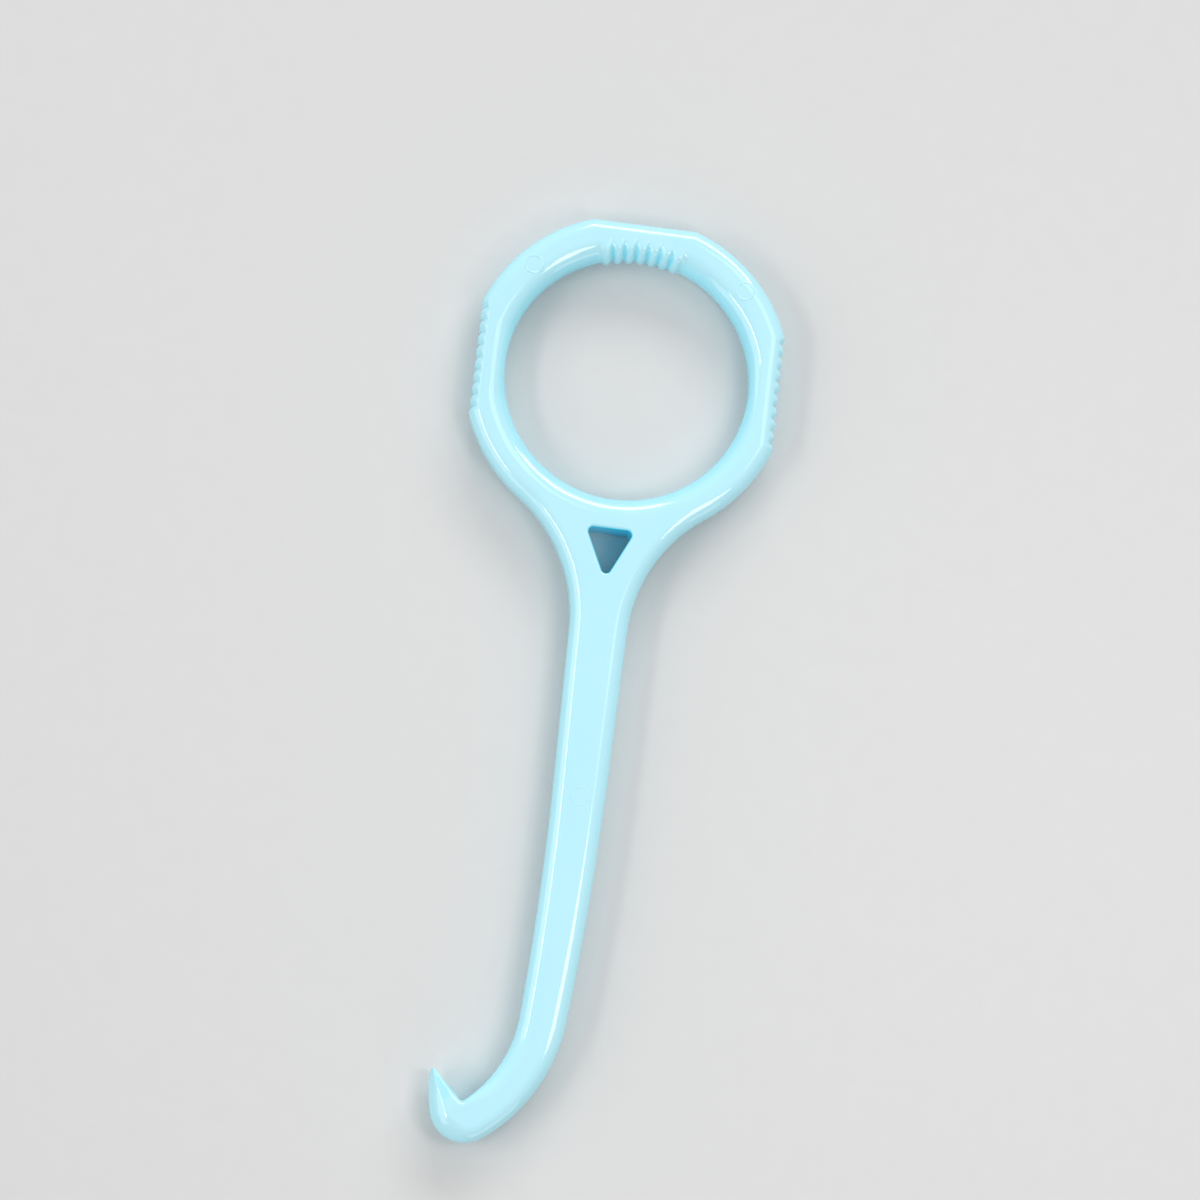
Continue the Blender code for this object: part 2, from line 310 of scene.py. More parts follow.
class HookTool(bpy.types.PropertyGroup):
    """All sizes and finishes of the aligner removal hook."""

    section: PointerProperty(type=SectionSizes)
    ring: PointerProperty(type=RingSizes)
    neck: PointerProperty(type=NeckSizes)
    shank: PointerProperty(type=ShankSizes)
    hook: PointerProperty(type=HookSizes)
    marks: PointerProperty(type=PinMarkSizes)
    plastic: PointerProperty(type=PlasticLook)
    stage: PointerProperty(type=StageLook)

    @property
    def hole_place(self):
        """The middle of the finger hole on the floor, from the frame's ring."""
        top = self.ring.hole_offset + self.ring.radius - self.ring.top_depth
        return Vector(((RING_LOW.x + RING_HIGH.x) / 2, RING_HIGH.y - top, RING_LOW.z))

    @property
    def neck_centre(self):
        """The middle of the right-hand neck curve."""
        across = self.shank.top_width / 2 + self.neck.radius
        reach = self.ring.radius + self.neck.radius
        return Vector((across, self.ring.hole_offset - math.sqrt(reach ** 2 - across ** 2)))

    @property
    def neck_angle(self):
        """Where the neck curves leave the ring, as an angle below the ring's middle."""
        centre = self.neck_centre
        return math.atan2(self.ring.hole_offset - centre.y, centre.x)

    @property
    def hook_heading(self):
        """How far the bend's end is turned from straight down the tool."""
        return self.shank.lean_angle + self.hook.bend_angle


# A point of the outline, its way into the material for each unit of inset, how far the grip stands
# out there, how far up the rounded edge the grip runs, and from 0 on a rib to 1 between two ribs
Station = namedtuple("Station", "point inward grip climb dip", defaults=(0.0, 1.0, 0.0))

# How the edge is rounded at a station: its radius, how far round it goes, half the straight wall, how
# far in the face starts, how much higher than the rounding's end, and from 0 to 1 how far the barb's
# thin inner face has grown there
Edge = namedtuple("Edge", "radius turn half_wall reach rise thin", defaults=(0.0,))

# One ring of points along an outline: its height as a share of the straight wall, its way up the
# rounded edge as a share of the turn, how far it stands proud, and whether the face starts there
Level = namedtuple("Level", "wall climb proud on_face")


def arc_count(radius, turn):
    """How many straight steps an arc takes."""
    return max(2, math.ceil(abs(turn) / (2 * math.acos(1 - CHORD_ERROR / radius))))


def arc(centre, radius, start, end):
    """Stations on an arc. The material is on the left of the way from start to end."""
    side = math.copysign(1, start - end)
    count = arc_count(radius, end - start)
    stations = []
    for i in range(count + 1):
        outward = unit(start + (end - start) * i / count)
        stations.append(Station(centre + outward * radius, outward * side))
    return stations


def rounded_corner(before, corner, after, radius):
    """An arc that rounds the corner between two straight edges, and how much of each edge it takes."""
    along = (corner - before).normalized()
    leaving = (after - corner).normalized()
    turn = math.atan2(along.cross(leaving), along.dot(leaving))
    setback = radius * math.tan(abs(turn) / 2)
    towards = left_of(along) * math.copysign(1, turn)
    centre = corner - along * setback + towards * radius
    start = heading_of(-towards)
    return arc(centre, radius, start, start + turn), setback


def joined(*runs):
    """One closed loop of stations, with points that fall on the one before them left out."""
    loop = []
    for run in runs:
        for station in run:
            if not loop or (station.point - loop[-1].point).length > SAME_POINT:
                loop.append(station)
    if (loop[-1].point - loop[0].point).length <= SAME_POINT:
        loop.pop()
    return loop


def flat_end(ring, facing, depth, side, inset, radius):
    """Points of one rounded end of a flat on the ring, drawn at an inset, and the angle it is at."""
    reach = ring.radius - inset - radius
    turn = math.acos((ring.radius - depth - inset - radius) / reach)
    centre = ring.centre + unit(facing + side * turn) * reach
    start = facing + min(side, 0) * turn
    points = [centre + unit(start + turn * i / CORNER_STEPS) * radius for i in range(CORNER_STEPS + 1)]
    return points, turn


def flat_end_stations(tool, facing, depth, side):
    """Stations of one rounded end of a flat, which stays a clear corner up to the face."""
    ring = tool.ring
    edge = tool.section.edge_radius
    low, turn = flat_end(ring, facing, depth, side, 0.0, ring.corner_radius)
    high, _ = flat_end(ring, facing, depth, side, edge, ring.corner_inner_radius)
    return [Station(a, (b - a) / edge) for a, b in zip(low, high)], turn


def finger_flat(tool, facing, depth, groove_depth):
    """A flat on the ring with its rounded ends, met while going round the ring to the left."""
    ring = tool.ring
    first, turn = flat_end_stations(tool, facing, depth, -1)
    last, _ = flat_end_stations(tool, facing, depth, 1)
    outward = unit(facing)
    sideways = left_of(outward)
    middle = (first[-1].point + last[0].point) / 2
    face_corner = last[0].point + last[0].inward * tool.section.edge_radius
    half_length = (face_corner - middle).dot(sideways)
    steps = ring.groove_count * GRIP_POINTS
    face = []
    for i in range(steps + 1):
        along = (i - steps / 2) * ring.groove_pitch / GRIP_POINTS
        groove = groove_depth * (1 - abs(math.cos(math.pi * i / GRIP_POINTS)))
        if abs(along) < half_length:
            face.append(Station(middle + sideways * along, -outward, -groove, ring.groove_climb))
    return first + face + last, turn


def ring_outside(tool):
    """The outside of the ring, from its right-hand neck curve over the top to the left-hand one."""
    ring = tool.ring
    flats = (
        (0.0, ring.side_depth, ring.groove_depth),
        (math.pi / 2, ring.top_depth, 0.0),
        (math.pi, ring.side_depth, ring.groove_depth),
    )
    stations = []
    start = -tool.neck_angle
    for facing, depth, groove_depth in flats:
        flat, turn = finger_flat(tool, facing, depth, groove_depth)
        stations += arc(ring.centre, ring.radius, start, facing - turn)[:-1] + flat
        start = facing + turn
    return stations + arc(ring.centre, ring.radius, start, math.pi + tool.neck_angle)


def centreline(tool):
    """The middle of the shank and the bend: each point with its heading and the width there.

    The heading is 0 straight down the tool and grows as the line turns to the barb's side.
    """
    shank, hook = tool.shank, tool.hook
    top = Vector((0.0, tool.neck_centre.y))
    run = shank.straight_length + shank.lean_length
    line = []
    for i in range(STRAIGHT_STEPS + 1):
        down = shank.straight_length * i / STRAIGHT_STEPS
        width = shank.top_width + (shank.low_width - shank.top_width) * down / run
        line.append((top - Vector((0.0, down)), 0.0, width))
    curves = (
        (shank.lean_radius, shank.lean_angle, shank.low_width, LEAN_STEPS),
        (hook.bend_radius, hook.bend_angle, hook.width, arc_count(hook.bend_radius, hook.bend_angle)),
    )
    for radius, turn, last_width, steps in curves:
        first, heading, first_width = line[-1]
        centre = first - unit(-heading) * radius
        for i in range(1, steps + 1):
            now = heading + turn * i / steps
            width = first_width + (last_width - first_width) * i / steps
            line.append((centre + unit(-now) * radius, now, width))
    return line


def circles_meet(first, first_radius, second, second_radius):
    """Where two circles cross, on the right of the way from the first centre to the second."""
    gap = second - first
    along = (first_radius ** 2 - second_radius ** 2 + gap.length_squared) / (2 * gap.length)
    across = math.sqrt(first_radius ** 2 - along ** 2)
    way = gap.normalized()
    return first + way * along - left_of(way) * across


def barb(tool, inner_end, outer_end):
    """The notch, the barb and the nose, from the bend's inner edge round to its outer edge."""
    hook = tool.hook
    heading = Vector((-math.sin(tool.hook_heading), -math.cos(tool.hook_heading)))
    tip = inner_end + unit(math.pi / 2 + hook.barb_angle) * hook.barb_length
    nose_centre = outer_end - unit(-tool.hook_heading) * hook.nose_radius
    back_reach = hook.back_radius - hook.nose_radius
    back_centre = circles_meet(nose_centre, back_reach, tip, hook.back_radius)
    back_start = heading_of(tip - back_centre) % math.tau
    back_end = heading_of(nose_centre - back_centre) % math.tau
    notch, _ = rounded_corner(inner_end - heading, inner_end, tip, hook.notch_radius)
    down = left_of(unit(back_start))
    point, setback = rounded_corner(inner_end, tip, tip + down, hook.tip_radius)
    inward = left_of((tip - inner_end).normalized())
    face = []
    for i in range(1, BARB_STEPS):
        place = notch[-1].point.lerp(point[0].point, i / BARB_STEPS)
        face.append(Station(place, inward))
    back = []
    for i in range(BARB_STEPS + 1):
        first = back_start + setback / hook.back_radius
        outward = unit(first + (back_end - first) * i / BARB_STEPS)
        back.append(Station(back_centre + outward * hook.back_radius, -outward))
    nose = arc(nose_centre, hook.nose_radius, back_end, math.tau - tool.hook_heading)
    return notch + face + point + back + nose


def outer_loop(tool):
    """The whole outline with the material on its left, and the part of it round the hook's end."""
    line = centreline(tool)
    left = [Station(p - unit(-heading) * (w / 2), unit(-heading)) for p, heading, w in line]
    right = [Station(p + unit(-heading) * (w / 2), -unit(-heading)) for p, heading, w in line]
    right.reverse()
    centre = tool.neck_centre
    flare = tool.neck_angle
    left_neck = arc(Vector((-centre.x, centre.y)), tool.neck.radius, flare, 0.0)
    right_neck = arc(centre, tool.neck.radius, math.pi, math.pi - flare)
    hook_end = barb(tool, left[-1].point, right[0].point)
    loop = joined(ring_outside(tool), left_neck, left[:-1], hook_end, right[1:], right_neck)
    return loop, hook_end


def ridge_room(section, station, walls):
    """How far a rounded edge can reach in from a station before it meets that of the walls across."""
    room = section.thickness
    for wall in walls:
        gap = wall.point - station.point
        facing = gap.dot(station.inward)
        if facing > SAME_POINT:
            room = min(room, gap.length_squared / (2 * facing))
    return room * section.ridge_share


def face_room(section, station, walls):
    """How far in from a station the face can start beside the full rounding of the walls across."""
    kept = section.edge_radius * FACE_SUPPORT ** 2
    room = section.thickness
    for wall in walls:
        gap = wall.point - station.point
        facing = gap.dot(station.inward)
        overlap = facing ** 2 + kept ** 2 - gap.length_squared
        if facing > 0 and overlap > 0:
            room = min(room, facing - math.sqrt(overlap))
    return room / FACE_SUPPORT


def plain_edge(section, radius):
    """A full quarter round up to the flat face."""
    return Edge(radius, math.pi / 2, section.thickness / 2 - radius, radius * FACE_SUPPORT, 0.0)


def back_edge(section, radius, room):
    """A round that stops short where it meets the ridge of the barb."""
    reach = min(radius, room)
    half_wall = section.thickness / 2 - radius
    return Edge(radius, math.acos(1 - reach / radius), half_wall, reach * FACE_SUPPORT, 0.0)


def throat_edge(section, hook, growth, room):
    """The barb's inner edge, with a bevel that climbs from it to the ridge."""
    half = section.thickness / 2
    ridge_reach = min(room, hook.back_edge_radius)
    ridge = half - hook.back_edge_radius + math.sqrt((2 * hook.back_edge_radius - ridge_reach) * ridge_reach)
    bevel = hook.throat_bevel * growth
    radius = min(hook.throat_edge_radius, room / 2)
    reach = radius * FACE_SUPPORT + (room - radius * FACE_SUPPORT) * growth
    rise = (reach - radius * (1 - math.sin(bevel))) * math.tan(bevel)
    top = half + (ridge - half) * growth
    return Edge(radius, math.pi / 2 - bevel, top - rise - radius * math.cos(bevel), reach, rise, growth)


def outer_edges(tool, loop, hook_end):
    """The outline's rounding, which changes round the hook's end and meets in the barb's ridge."""
    section, hook = tool.section, tool.hook
    barb_way = unit(math.pi / 2 + hook.barb_angle)
    throat_side = left_of(barb_way)
    notch = hook_end[0].point
    at_point = {}
    for station in hook_end:
        along = (station.point - notch).dot(barb_way)
        room = ridge_room(section, station, hook_end)
        if station.inward.dot(throat_side) > 0:
            edge = throat_edge(section, hook, smooth(along, 0.0, hook.bevel_growth), room)
        else:
            growth = smooth(along, -hook.nose_growth, -hook.nose_growth * hook.nose_rest)
            radius = section.edge_radius + (hook.back_edge_radius - section.edge_radius) * growth
            edge = back_edge(section, radius, room)
        at_point[tuple(station.point)] = edge
    edges = []
    for station in loop:
        near = smooth((station.point - notch).length, 0.0, hook.throat_growth)
        radius = hook.throat_edge_radius + (section.edge_radius - hook.throat_edge_radius) * near
        edges.append(at_point.get(tuple(station.point)) or plain_edge(section, radius))
    return edges


def hole_edges(tool, loop, outer):
    """The hole's rounding, as large as the band has room for."""
    radii = [min(tool.ring.hole_edge_radius, face_room(tool.section, station, outer)) for station in loop]
    return [plain_edge(tool.section, radius) for radius in radii]


def eye_edges(tool, loop):
    """The eye's small rounding, the same all round."""
    return [plain_edge(tool.section, tool.neck.eye_edge_radius)] * len(loop)


def hole_loop(tool):
    """The finger hole, with its ribs across the top."""
    ring = tool.ring
    half_angle = ring.rib_count * ring.rib_pitch / ring.hole_radius / 2
    top = math.pi / 2
    middle = Vector((0.0, 0.0))
    plain = arc(middle, ring.hole_radius, top - half_angle, top + half_angle - math.tau)
    steps = ring.rib_count * GRIP_POINTS
    ribs = []
    for i in range(steps + 1):
        outward = unit(top + half_angle - 2 * half_angle * i / steps)
        swell = abs(math.sin(math.pi * i / GRIP_POINTS))
        between = GRIP_POINTS / 2 < i < steps - GRIP_POINTS / 2
        dip = abs(math.cos(math.pi * i / GRIP_POINTS)) if between else 0.0
        place = outward * ring.hole_radius
        ribs.append(Station(place, outward, ring.rib_height * swell, ring.rib_climb, dip))
    return joined(plain, ribs)


def eye_loop(tool):
    """The three-cornered eye, with a flat top and its point towards the hook."""
    neck = tool.neck
    top = -tool.ring.hole_radius - neck.eye_web
    left = Vector((-neck.eye_width / 2, top))
    right = Vector((neck.eye_width / 2, top))
    low = Vector((0.0, top - neck.eye_height))
    corners = ((low, left, right), (left, right, low), (right, low, left))
    return joined(*(rounded_corner(*corner, neck.eye_corner_radius)[0] for corner in corners))


def edge_levels(section):
    """The rings of points from the back face, over the parting seam, to the front face."""
    front = [Level(1.0, i / EDGE_STEPS, 0.0, False) for i in range(EDGE_STEPS + 1)]
    front.append(Level(1.0, 1.0, 0.0, True))
    back = [Level(-1.0, -level.climb, 0.0, level.on_face) for level in reversed(front)]
    seam = [
        Level(-section.seam_share, 0.0, 0.0, False),
        Level(0.0, 0.0, section.seam_height, False),
        Level(section.seam_share, 0.0, 0.0, False),
    ]
    return back + seam + front


def grip_kept(station, turn):
    """The share of the grip that is still there at a turn up the rounded edge."""
    return 1 - smooth(turn, station.climb * GRIP_FADE, station.climb)


def grip_at(station, edge, turn):
    """How far the grip stands out at a turn up the rounded edge, never higher than the face."""
    room = edge.radius * (1 - math.sin(turn)) / max(math.sin(turn), SAME_POINT)
    return min(station.grip * grip_kept(station, turn), room)


def painted_shade_at(tool, station, edge, turn, wall_painted_shade):
    """How much painted shade the plastic's colour takes at a turn up the rounded edge, from 0 to 1."""
    plastic = tool.plastic
    grip = grip_at(station, edge, turn)
    # Painted highlight: rib crests lose part of the painted shade, so they look lit
    crest = 1 - plastic.painted_crest_light * grip / tool.ring.rib_height
    # Painted shade in the valleys between the ribs
    valley = station.dip * grip_kept(station, turn) * math.cos(turn / 2)
    return max(
        wall_painted_shade * math.cos(turn) * crest,
        plastic.valley_painted_shade * valley,
        # Painted shade on the barb's thin inner face
        plastic.throat_painted_shade * edge.thin,
    )


def add_rim(mesh, tool, loop, edges, wall_painted_shade, painted_shade_layer):
    """The wall along a loop with both its rounded edges, and the lowest and highest ring of it."""
    mid_height = tool.section.thickness / 2
    rings = []
    for level in edge_levels(tool.section):
        ring = []
        for station, edge in zip(loop, edges):
            turn = level.climb * edge.turn
            radius = edge.radius + grip_at(station, edge, abs(turn))
            inset = edge.reach if level.on_face else edge.radius - radius * math.cos(turn)
            wall = edge.half_wall + (edge.rise if level.on_face else 0.0)
            place = station.point + station.inward * (inset - level.proud)
            height = mid_height + level.wall * wall + radius * math.sin(turn)
            vert = mesh.verts.new((place.x, place.y, height))
            # Each point carries its painted shade in the vertex layer
            vert[painted_shade_layer] = painted_shade_at(tool, station, edge, abs(turn), wall_painted_shade)
            ring.append(vert)
        rings.append(ring)
    for low, high in zip(rings, rings[1:]):
        for i in range(len(loop)):
            j = (i + 1) % len(loop)
            mesh.faces.new((low[i], low[j], high[j], high[i]))
    return rings[0], rings[-1]


def fill_face(mesh, rings):
    """Fills the front or the back between the outline, the first ring, and the holes in it."""
    verts = []
    outlines = []
    for ring in rings:
        outlines.append(list(range(len(verts), len(verts) + len(ring))))
        verts += ring
    holes = [list(reversed(outline)) for outline in outlines[1:]]
    points = [vert.co.xy * MILLIMETRES for vert in verts] + face_grid(verts)
    borders = outlines[:1] + holes
    filled = delaunay_2d_cdt(points, [], borders, FILL_INSIDE, FILL_TOLERANCE)
    coords, _, faces, sources, _, owners = filled
    level = verts[0].co.z
    corners = []
    for place, source in zip(coords, sources):
        if source[0] < len(verts):
            corners.append(verts[source[0]])
        else:
            corners.append(mesh.verts.new((*(place / MILLIMETRES), level)))
    for face, owner in zip(faces, owners):
        if owner == [0]:
            mesh.faces.new([corners[i] for i in face])
    bmesh.ops.delete(mesh, geom=[vert for vert in corners if not vert.link_faces], context="VERTS")


def face_grid(verts):
    """Evenly spread points over the box of these vertices that keep clear of them, in millimetres."""
    near = KDTree(len(verts))
    for i, vert in enumerate(verts):
        near.insert((vert.co.x, vert.co.y, 0.0), i)
    near.balance()
    low = Vector((min(vert.co.x for vert in verts), min(vert.co.y for vert in verts)))
    high = Vector((max(vert.co.x for vert in verts), max(vert.co.y for vert in verts)))
    row_height = FACE_SPACING * math.sqrt(3) / 2
    points = []
    for row in range(int((high.y - low.y) / row_height)):
        for column in range(int((high.x - low.x) / FACE_SPACING)):
            x = low.x + (column + row % 2 / 2) * FACE_SPACING
            y = low.y + row * row_height
            if near.find((x, y, 0.0))[2] > FACE_SPACING / 2:
                points.append(Vector((x, y)) * MILLIMETRES)
    return points


def moulding_mesh(tool):
    """The whole moulding as one closed, seamless skin."""
    mesh = bmesh.new()
    # A vertex layer of painted shade, which the plastic turns into a deeper, darker colour
    painted_shade_layer = mesh.verts.layers.float.new(PAINTED_SHADE_LAYER)
    outer, hook_end = outer_loop(tool)
    hole = hole_loop(tool)
    eye = eye_loop(tool)
    plastic = tool.plastic
    # Each rim with its own strength of painted shade
    rims = (
        (outer, outer_edges(tool, outer, hook_end), plastic.outer_painted_shade),
        (hole, hole_edges(tool, hole, outer), plastic.hole_painted_shade),
        (eye, eye_edges(tool, eye), plastic.eye_painted_shade),
    )
    ends = [add_rim(mesh, tool, *rim, painted_shade_layer) for rim in rims]
    for side in range(2):
        fill_face(mesh, [end[side] for end in ends])
    bmesh.ops.recalc_face_normals(mesh, faces=mesh.faces)
    return mesh


class Link:
    """One output of a shader node. Sums and products with it add Math nodes."""

    def __init__(self, paint, socket):
        self.paint = paint
        self.socket = socket

    def maths(self, operation, first, second):
        return self.paint.add("ShaderNodeMath", {"operation": operation}, {0: first, 1: second})

    def __add__(self, other):
        return self.maths("ADD", self, other)

    __radd__ = __add__

    def __mul__(self, other):
        return self.maths("MULTIPLY", self, other)

    __rmul__ = __mul__


class Paint:
    """Adds nodes to one material or world."""

    def __init__(self, owner, shader="Principled BSDF"):
        owner.use_nodes = True
        self.owner = owner
        self.tree = owner.node_tree
        self.shader = self.tree.nodes[shader]

    def add(self, kind, settings, inputs, output=0):
        """A node with its settings made first, then its sockets set or linked. Gives one output."""
        node = self.tree.nodes.new(kind)
        for name, value in settings.items():
            if name == "stops":
                self.set_stops(node.color_ramp, value)
            else:
                setattr(node, name, value)
        for name, value in inputs.items():
            self.feed(node, name, value)
        return Link(self, self.open_socket(node.outputs, output))

    def feed(self, node, name, value):
        """Sets one input of a node, or links it."""
        socket = self.open_socket(node.inputs, name)
        if isinstance(value, Link):
            self.tree.links.new(value.socket, socket)
        else:
            socket.default_value = value

    @staticmethod
    def open_socket(sockets, name):
        """The socket of a name, or of a number, among those that the node's settings leave in use."""
        if isinstance(name, int):
            return [socket for socket in sockets if socket.enabled][name]
        return next(socket for socket in sockets if socket.enabled and socket.name == name)

    @staticmethod
    def set_stops(ramp, stops):
        """Sets a ramp's places and grey values."""
        for element, (place, value) in zip(ramp.elements, stops):
            element.position = place
            element.color = (value, value, value, 1.0)


def noise(paint, place, scale, detail):
    """An even noise from 0 to 1."""
    return paint.add("ShaderNodeTexNoise", {}, {"Vector": place, "Scale": scale, "Detail": detail}, "Fac")


def mixed(paint, factor, first, second):
    """A colour between two others."""
    return paint.add("ShaderNodeMix", {"data_type": "RGBA"}, {"Factor": factor, "A": first, "B": second})


def plastic_material(look):
    """Glossy light blue plastic with painted shade that deepens its colour on its walls, faint flow clouds
    and handling streaks.
    """
    paint = Paint(bpy.data.materials.new(PLASTIC_NAME))
    place = paint.add("ShaderNodeTexCoord", {}, {}, "Object")
    along = paint.add("ShaderNodeMapping", {}, {"Vector": place, "Scale": FLOW_STRETCH})
    clouds = noise(paint, along, CLOUD_SCALE, 3.0)
    streaks = noise(paint, along, STREAK_SCALE, 4.0)
    peel = noise(paint, place, PEEL_SCALE, 2.0)
    cloudy = paint.add("ShaderNodeValToRGB", {"stops": CLOUD_RAMP}, {"Fac": clouds})
    worn = paint.add("ShaderNodeValToRGB", {"stops": STREAK_RAMP}, {"Fac": streaks})
    relief = paint.add(
        "ShaderNodeBump", {}, {"Height": peel, "Strength": look.peel, "Distance": look.peel_height}
    )
    # Painted shade: the vertex layer, cubed, turns the face colour into the deeper, darker wall colour
    depth = paint.add("ShaderNodeAttribute", {"attribute_name": PAINTED_SHADE_LAYER}, {}, "Fac")
    face = mixed(paint, cloudy, (*look.face_colour, 1.0), (*look.cloud_colour, 1.0))
    base = mixed(paint, depth * depth * depth, face, (*look.painted_shade_colour, 1.0))
    paint.feed(paint.shader, "Base Color", base)
    paint.feed(paint.shader, "Roughness", worn * look.handling + look.roughness)
    paint.feed(paint.shader, "Normal", relief)
    paint.feed(paint.shader, "IOR", look.refraction)
    paint.feed(paint.shader, "Specular IOR Level", look.gloss)
    return paint.owner


def shared_plastic(look):
    """The plastic, made once for all pieces."""
    return bpy.data.materials.get(PLASTIC_NAME) or plastic_material(look)


def add_piece(name, mesh, place, material, body):
    """A smooth mesh object that rides a body of the frame."""
    data = bpy.data.meshes.new(name)
    mesh.to_mesh(data)
    mesh.free()
    data.transform(Matrix.Translation(place))
    data.shade_smooth()
    data.materials.append(material)
    piece = bpy.data.objects.new(name, data)
    bpy.context.scene.collection.objects.link(piece)
    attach(piece, body)
    return piece


class BuildMoulding(bpy.types.Operator):
    """Build the seamless moulding that stands for the four zones of the CAD model"""

    bl_idname = "aligner_hook.build_moulding"
    bl_label = "Build Moulding"

    def execute(self, context):
        tool = context.scene.aligner_hook
        material = shared_plastic(tool.plastic)
        piece = add_piece("hook_moulding", moulding_mesh(tool), tool.hole_place, material, "root")
        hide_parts(*ZONES)
        return {"FINISHED"}


def mark_mesh(marks, surface, centre, height):
    """A low raised ring that follows the face under it, as a closed bead."""
    above = 2 * RING_HIGH.z
    down = Vector((0.0, 0.0, -1.0))
    mesh = bmesh.new()
    rings = []
    for i in range(MARK_STEPS):
        outward = unit(math.tau * i / MARK_STEPS)
        ring = []
        for j in range(BEAD_STEPS):
            lift = unit(math.tau * j / BEAD_STEPS)
            place = centre + outward * (marks.ring_radius + lift.x * marks.bead_width / 2)
            hit = surface.ray_cast(Vector((*place, above)), down)[0]
            ring.append(mesh.verts.new((*place, hit.z + lift.y * height)))
        rings.append(ring)
    for i in range(MARK_STEPS):
        low, high = rings[i], rings[(i + 1) % MARK_STEPS]
        for j in range(BEAD_STEPS):
            k = (j + 1) % BEAD_STEPS
            mesh.faces.new((low[j], high[j], high[k], low[k]))
    bmesh.ops.recalc_face_normals(mesh, faces=mesh.faces)
    return mesh


class BuildPinMarks(bpy.types.Operator):
    """Build the plain round pin marks on the front face"""

    bl_idname = "aligner_hook.build_pin_marks"
    bl_label = "Build Pin Marks"

    def execute(self, context):
        tool = context.scene.aligner_hook
        marks = tool.marks
        skin = moulding_mesh(tool)
        surface = BVHTree.FromBMesh(skin)
        skin.free()
        top = math.pi / 2
        places = (
            ("pin_mark_left", unit(top + marks.ring_angle) * marks.ring_reach, marks.bead_height),
            ("pin_mark_right", unit(top - marks.ring_angle) * marks.ring_reach, marks.bead_height),
            ("pin_mark_shank", unit(-top) * marks.shank_reach, marks.shank_bead_height),
        )
        material = shared_plastic(tool.plastic)
        for name, centre, height in places:
            mesh = mark_mesh(marks, surface, centre, height)
            add_piece(name, mesh, tool.hole_place, material, "root")
        return {"FINISHED"}


def add_floor(stage):
    """A wide plain floor under the tool."""
    reach = stage.floor_reach
    height = CAD_BOX[0][2]
    data = bpy.data.meshes.new("floor")
    corners = [(x * reach, y * reach, height) for x, y in ((-1, -1), (1, -1), (1, 1), (-1, 1))]
    data.from_pydata(corners, [], [(0, 1, 2, 3)])
    paint = Paint(bpy.data.materials.new("plain_floor"))
    place = paint.add("ShaderNodeTexCoord", {}, {}, "Object")
    grain = noise(paint, place, FLOOR_SCALE, 2.0)
    plain = Vector(stage.floor_colour)
    dark = plain * (1 - stage.floor_grain)
    pale = plain * (1 + stage.floor_grain)
    paint.feed(paint.shader, "Base Color", mixed(paint, grain, (*dark, 1.0), (*pale, 1.0)))
    paint.feed(paint.shader, "Roughness", stage.floor_roughness)
    paint.feed(paint.shader, "Specular IOR Level", stage.floor_gloss)
    data.materials.append(paint.owner)
    floor = bpy.data.objects.new("floor", data)
    bpy.context.scene.collection.objects.link(floor)


# A rectangular lamp: its place from the point the camera looks at, its two sides and its brightness
Lamp = namedtuple("Lamp", "name place sides radiance")

LAMPS = (
    Lamp("lamp_top", place=(0.2, 0.85, 0.49), sides=(0.9, 0.34), radiance=5.4),
    Lamp("lamp_left", place=(-0.68, -0.15, 0.72), sides=(0.65, 0.14), radiance=6.5),
    Lamp("lamp_right", place=(0.075, -0.038, 0.16), sides=(0.042, 0.07), radiance=5.0),
    Lamp("lamp_high", place=(0.36, 0.30, 0.88), sides=(0.45, 0.45), radiance=1.4),
    Lamp("lamp_fill", place=(-0.9, -0.3, 0.42), sides=(1.2, 0.6), radiance=1.2),
    Lamp("lamp_low", place=(0.5, -0.85, 0.25), sides=(0.8, 0.35), radiance=1.1),
)


def add_lamp(lamp, aim):
    """A soft lamp turned to the tool, with an even brightness over its face."""
    data = bpy.data.lights.new(lamp.name, "AREA")
    data.shape = "RECTANGLE"
    data.size, data.size_y = lamp.sides
    data.energy = lamp.radiance * math.pi * data.size * data.size_y
    place = aim + Vector(lamp.place)
    holder = bpy.data.objects.new(lamp.name, data)
    holder.location = place
    holder.rotation_euler = (place - aim).to_track_quat("Z", "Y").to_euler()
    holder.visible_camera = False
    bpy.context.scene.collection.objects.link(holder)


def add_sky(stage):
    """An even light from all round, which is seen and mirrored as a pale backdrop."""
    paint = Paint(bpy.data.worlds.new("soft_sky"), "Background")
    rays = ("Is Camera Ray", "Is Glossy Ray", "Is Transmission Ray")
    seen = sum(paint.add("ShaderNodeLightPath", {}, {}, ray) for ray in rays)
    strength = paint.add("ShaderNodeMix", {}, {"Factor": seen, "A": stage.sky, "B": stage.backdrop})
    paint.feed(paint.shader, "Color", (1.0, 1.0, 1.0, 1.0))
    paint.feed(paint.shader, "Strength", strength)
    bpy.context.scene.world = paint.owner


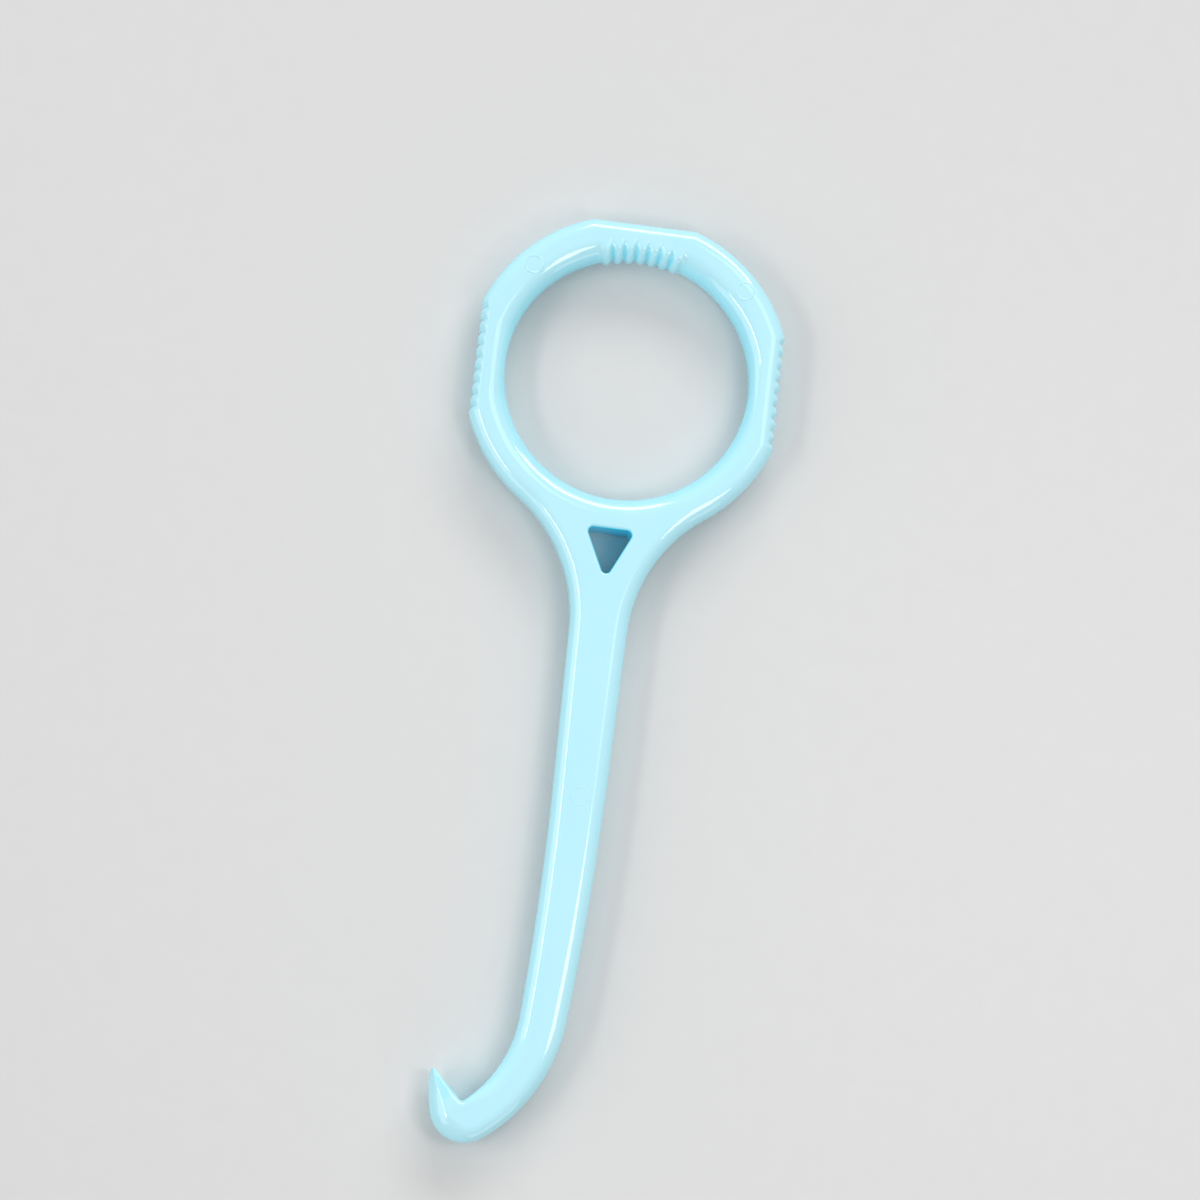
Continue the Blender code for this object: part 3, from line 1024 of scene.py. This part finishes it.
def add_camera(stage, aim):
    """The camera at the photograph's viewing angle."""
    flat = math.cos(stage.camera_elevation)
    back = Vector(
        (
            flat * math.sin(stage.camera_bearing),
            flat * math.cos(stage.camera_bearing),
            math.sin(stage.camera_elevation),
        )
    )
    length_way = Vector((0.0, 1.0, 0.0))
    up = Quaternion(back, stage.tool_lean) @ (length_way - back * length_way.dot(back)).normalized()
    right = up.cross(back)
    data = bpy.data.cameras.new("camera")
    data.sensor_fit = "HORIZONTAL"
    data.angle = stage.field_of_view
    data.clip_start = NEAREST_SEEN
    camera = bpy.data.objects.new("camera", data)
    turn = Matrix((right, up, back)).transposed()
    camera.matrix_world = Matrix.Translation(aim + back * stage.camera_distance) @ turn.to_4x4()
    bpy.context.scene.collection.objects.link(camera)
    bpy.context.scene.camera = camera


class BuildStage(bpy.types.Operator):
    """Build the floor, the lamps, the sky and the camera"""

    bl_idname = "aligner_hook.build_stage"
    bl_label = "Build Stage"

    def execute(self, context):
        tool = context.scene.aligner_hook
        stage = tool.stage
        aim = tool.hole_place + Vector(stage.aim)
        context.scene.view_settings.view_transform = "Standard"
        add_floor(stage)
        add_sky(stage)
        for lamp in LAMPS:
            add_lamp(lamp, aim)
        add_camera(stage, aim)
        return {"FINISHED"}


class HookPanel(bpy.types.Panel):
    """Sizes and steps of the aligner removal hook"""

    bl_label = "Aligner Removal Hook"
    bl_idname = "VIEW3D_PT_aligner_hook"
    bl_space_type = "VIEW_3D"
    bl_region_type = "UI"
    bl_category = "Hook"

    def draw(self, context):
        tool = context.scene.aligner_hook
        for operator in OPERATORS:
            self.layout.operator(operator.bl_idname)
        for name, group in SIZE_GROUPS:
            box = self.layout.box()
            box.label(text=name.capitalize())
            for setting in group.__annotations__:
                box.prop(getattr(tool, name), setting)


OPERATORS = (BuildMoulding, BuildPinMarks, BuildStage)
SIZE_GROUPS = (
    ("section", SectionSizes),
    ("ring", RingSizes),
    ("neck", NeckSizes),
    ("shank", ShankSizes),
    ("hook", HookSizes),
    ("marks", PinMarkSizes),
    ("plastic", PlasticLook),
    ("stage", StageLook),
)
CLASSES = (*(group for _, group in SIZE_GROUPS), HookTool, *OPERATORS, HookPanel)


def register():
    for cls in CLASSES:
        bpy.utils.register_class(cls)
    bpy.types.Scene.aligner_hook = PointerProperty(type=HookTool)


def unregister():
    del bpy.types.Scene.aligner_hook
    for cls in reversed(CLASSES):
        bpy.utils.unregister_class(cls)


def main():
    register()
    bpy.ops.aligner_hook.build_moulding()
    bpy.ops.aligner_hook.build_pin_marks()
    bpy.ops.aligner_hook.build_stage()


if __name__ == "__main__":
    main()
